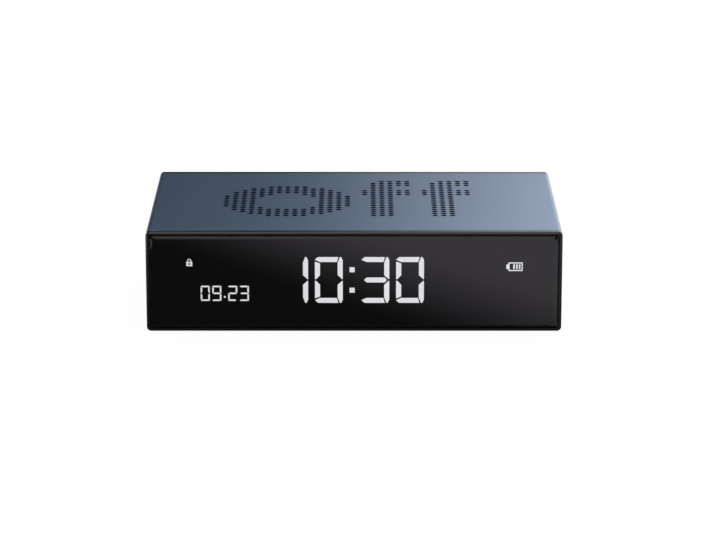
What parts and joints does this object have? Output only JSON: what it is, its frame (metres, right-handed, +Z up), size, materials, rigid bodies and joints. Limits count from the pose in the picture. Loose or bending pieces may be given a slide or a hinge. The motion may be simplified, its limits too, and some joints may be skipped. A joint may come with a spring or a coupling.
{
  "type": "digital alarm clock",
  "caption": "Flat flip-over desk alarm clock: aluminium sleeve with drilled on and off words, tinted LCD front, sprung rear keys and a charging socket.",
  "frame": {"origin": "middle of the case's lower face, on the surface that the clock stands on", "axes": "+X to the right seen from the display, +Y from the display to the back, +Z up"},
  "size_m": [0.105, 0.064, 0.026],
  "materials": {
    "anodised_aluminium": "satin, blue-grey anodised",
    "gloss_black": "gloss moulded black",
    "tinted_lens": "polished dark tinted acrylic",
    "lit_white": "lit white LCD figures",
    "black_tape": "matt black adhesive tape",
    "lcd_glass": "dark negative LCD glass",
    "white_film": "matt white film",
    "clear_acrylic": "clear polished acrylic",
    "flex_strip": "amber flexible circuit",
    "led_body": "ivory LED package",
    "contact_rubber": "layered contact rubber",
    "holder_white": "matt white moulded",
    "circuit_board": "green solder mask on glass laminate",
    "chip_black": "matt black epoxy",
    "bright_steel": "bright plated steel",
    "black_steel": "black oxide steel",
    "acoustic_cloth": "black woven acoustic cloth",
    "chassis_grey": "matt dark grey moulded",
    "pouch_foil": "laminated foil pouch",
    "adhesive": "clear adhesive tape",
    "wire_red": "insulated lead wire",
    "plug_ivory": "ivory nylon",
    "speaker_steel": "grey stamped steel",
    "magnet_iron": "plated iron and magnet",
    "cone_paper": "black pressed paper",
    "coil_copper": "enamelled copper wire",
    "gasket_foam": "soft grey foam",
    "ferrite": "ferrite core",
    "gilt_brass": "gilt brass",
    "key_black": "fine matt black moulded"
  },
  "bodies": {
    "clock_case": {"case_sleeve": "anodised_aluminium", "front_frame": "gloss_black", "display_lens": "tinted_lens", "lens_tape": "black_tape", "lcd_panel": "lcd_glass", "time_segments": "lit_white", "date_segments": "lit_white", "status_icons": "lit_white", "diffuser_film": "white_film", "light_guide": "clear_acrylic", "reflector_sheet": "white_film", "backlight_strips": "flex_strip", "backlight_leds": "led_body", "contact_strip": "contact_rubber", "lcd_holder": "holder_white", "display_board": "circuit_board", "display_chip": "chip_black", "front_screws": "bright_steel", "top_mesh": "acoustic_cloth", "bottom_mesh": "acoustic_cloth", "chassis": "chassis_grey", "battery_cell": "pouch_foil", "battery_tape": "adhesive", "battery_leads": "wire_red", "battery_plug": "plug_ivory", "speaker_frame": "speaker_steel", "speaker_magnet": "magnet_iron", "speaker_gasket": "gasket_foam", "speaker_leads": "wire_red", "rear_board": "circuit_board", "board_screws": "bright_steel", "control_chip": "chip_black", "crystal_can": "bright_steel", "charge_coil": "ferrite", "flat_cable": "white_film", "cable_sockets": "plug_ivory", "tilt_can": "gilt_brass", "tilt_base": "chip_black", "switch_bodies": "bright_steel", "usb_shell": "bright_steel", "usb_tongue": "chip_black", "rear_cover": "gloss_black", "rear_screws": "black_steel"},
    "time_button": {"time_key": "key_black", "time_plunger": "chip_black"},
    "alarm_button": {"alarm_key": "key_black", "alarm_plunger": "chip_black"},
    "plus_button": {"plus_key": "key_black", "plus_plunger": "chip_black"},
    "minus_button": {"minus_key": "key_black", "minus_plunger": "chip_black"},
    "tilt_ball": {"tilt_ball": "bright_steel"},
    "speaker_cone": {"speaker_cone": "cone_paper", "voice_coil": "coil_copper"}
  },
  "joints": [
    {"name": "time_press", "type": "slide", "parent": "clock_case", "child": "time_button", "axis": [0, -1, 0], "range_m": [0, 0.00035], "stiffness_N_per_m": 3000},
    {"name": "alarm_press", "type": "slide", "parent": "clock_case", "child": "alarm_button", "axis": [0, -1, 0], "range_m": [0, 0.00035], "stiffness_N_per_m": 3000},
    {"name": "plus_press", "type": "slide", "parent": "clock_case", "child": "plus_button", "axis": [0, -1, 0], "range_m": [0, 0.00035], "stiffness_N_per_m": 3000},
    {"name": "minus_press", "type": "slide", "parent": "clock_case", "child": "minus_button", "axis": [0, -1, 0], "range_m": [0, 0.00035], "stiffness_N_per_m": 3000},
    {"name": "tilt_roll", "type": "slide", "parent": "clock_case", "child": "tilt_ball", "axis": [0, 0, 1], "range_m": [0, 0.00214]},
    {"name": "cone_stroke", "type": "slide", "parent": "clock_case", "child": "speaker_cone", "axis": [0, 0, 1], "range_m": [-0.0003, 0.0003], "stiffness_N_per_m": 1200}
  ]
}
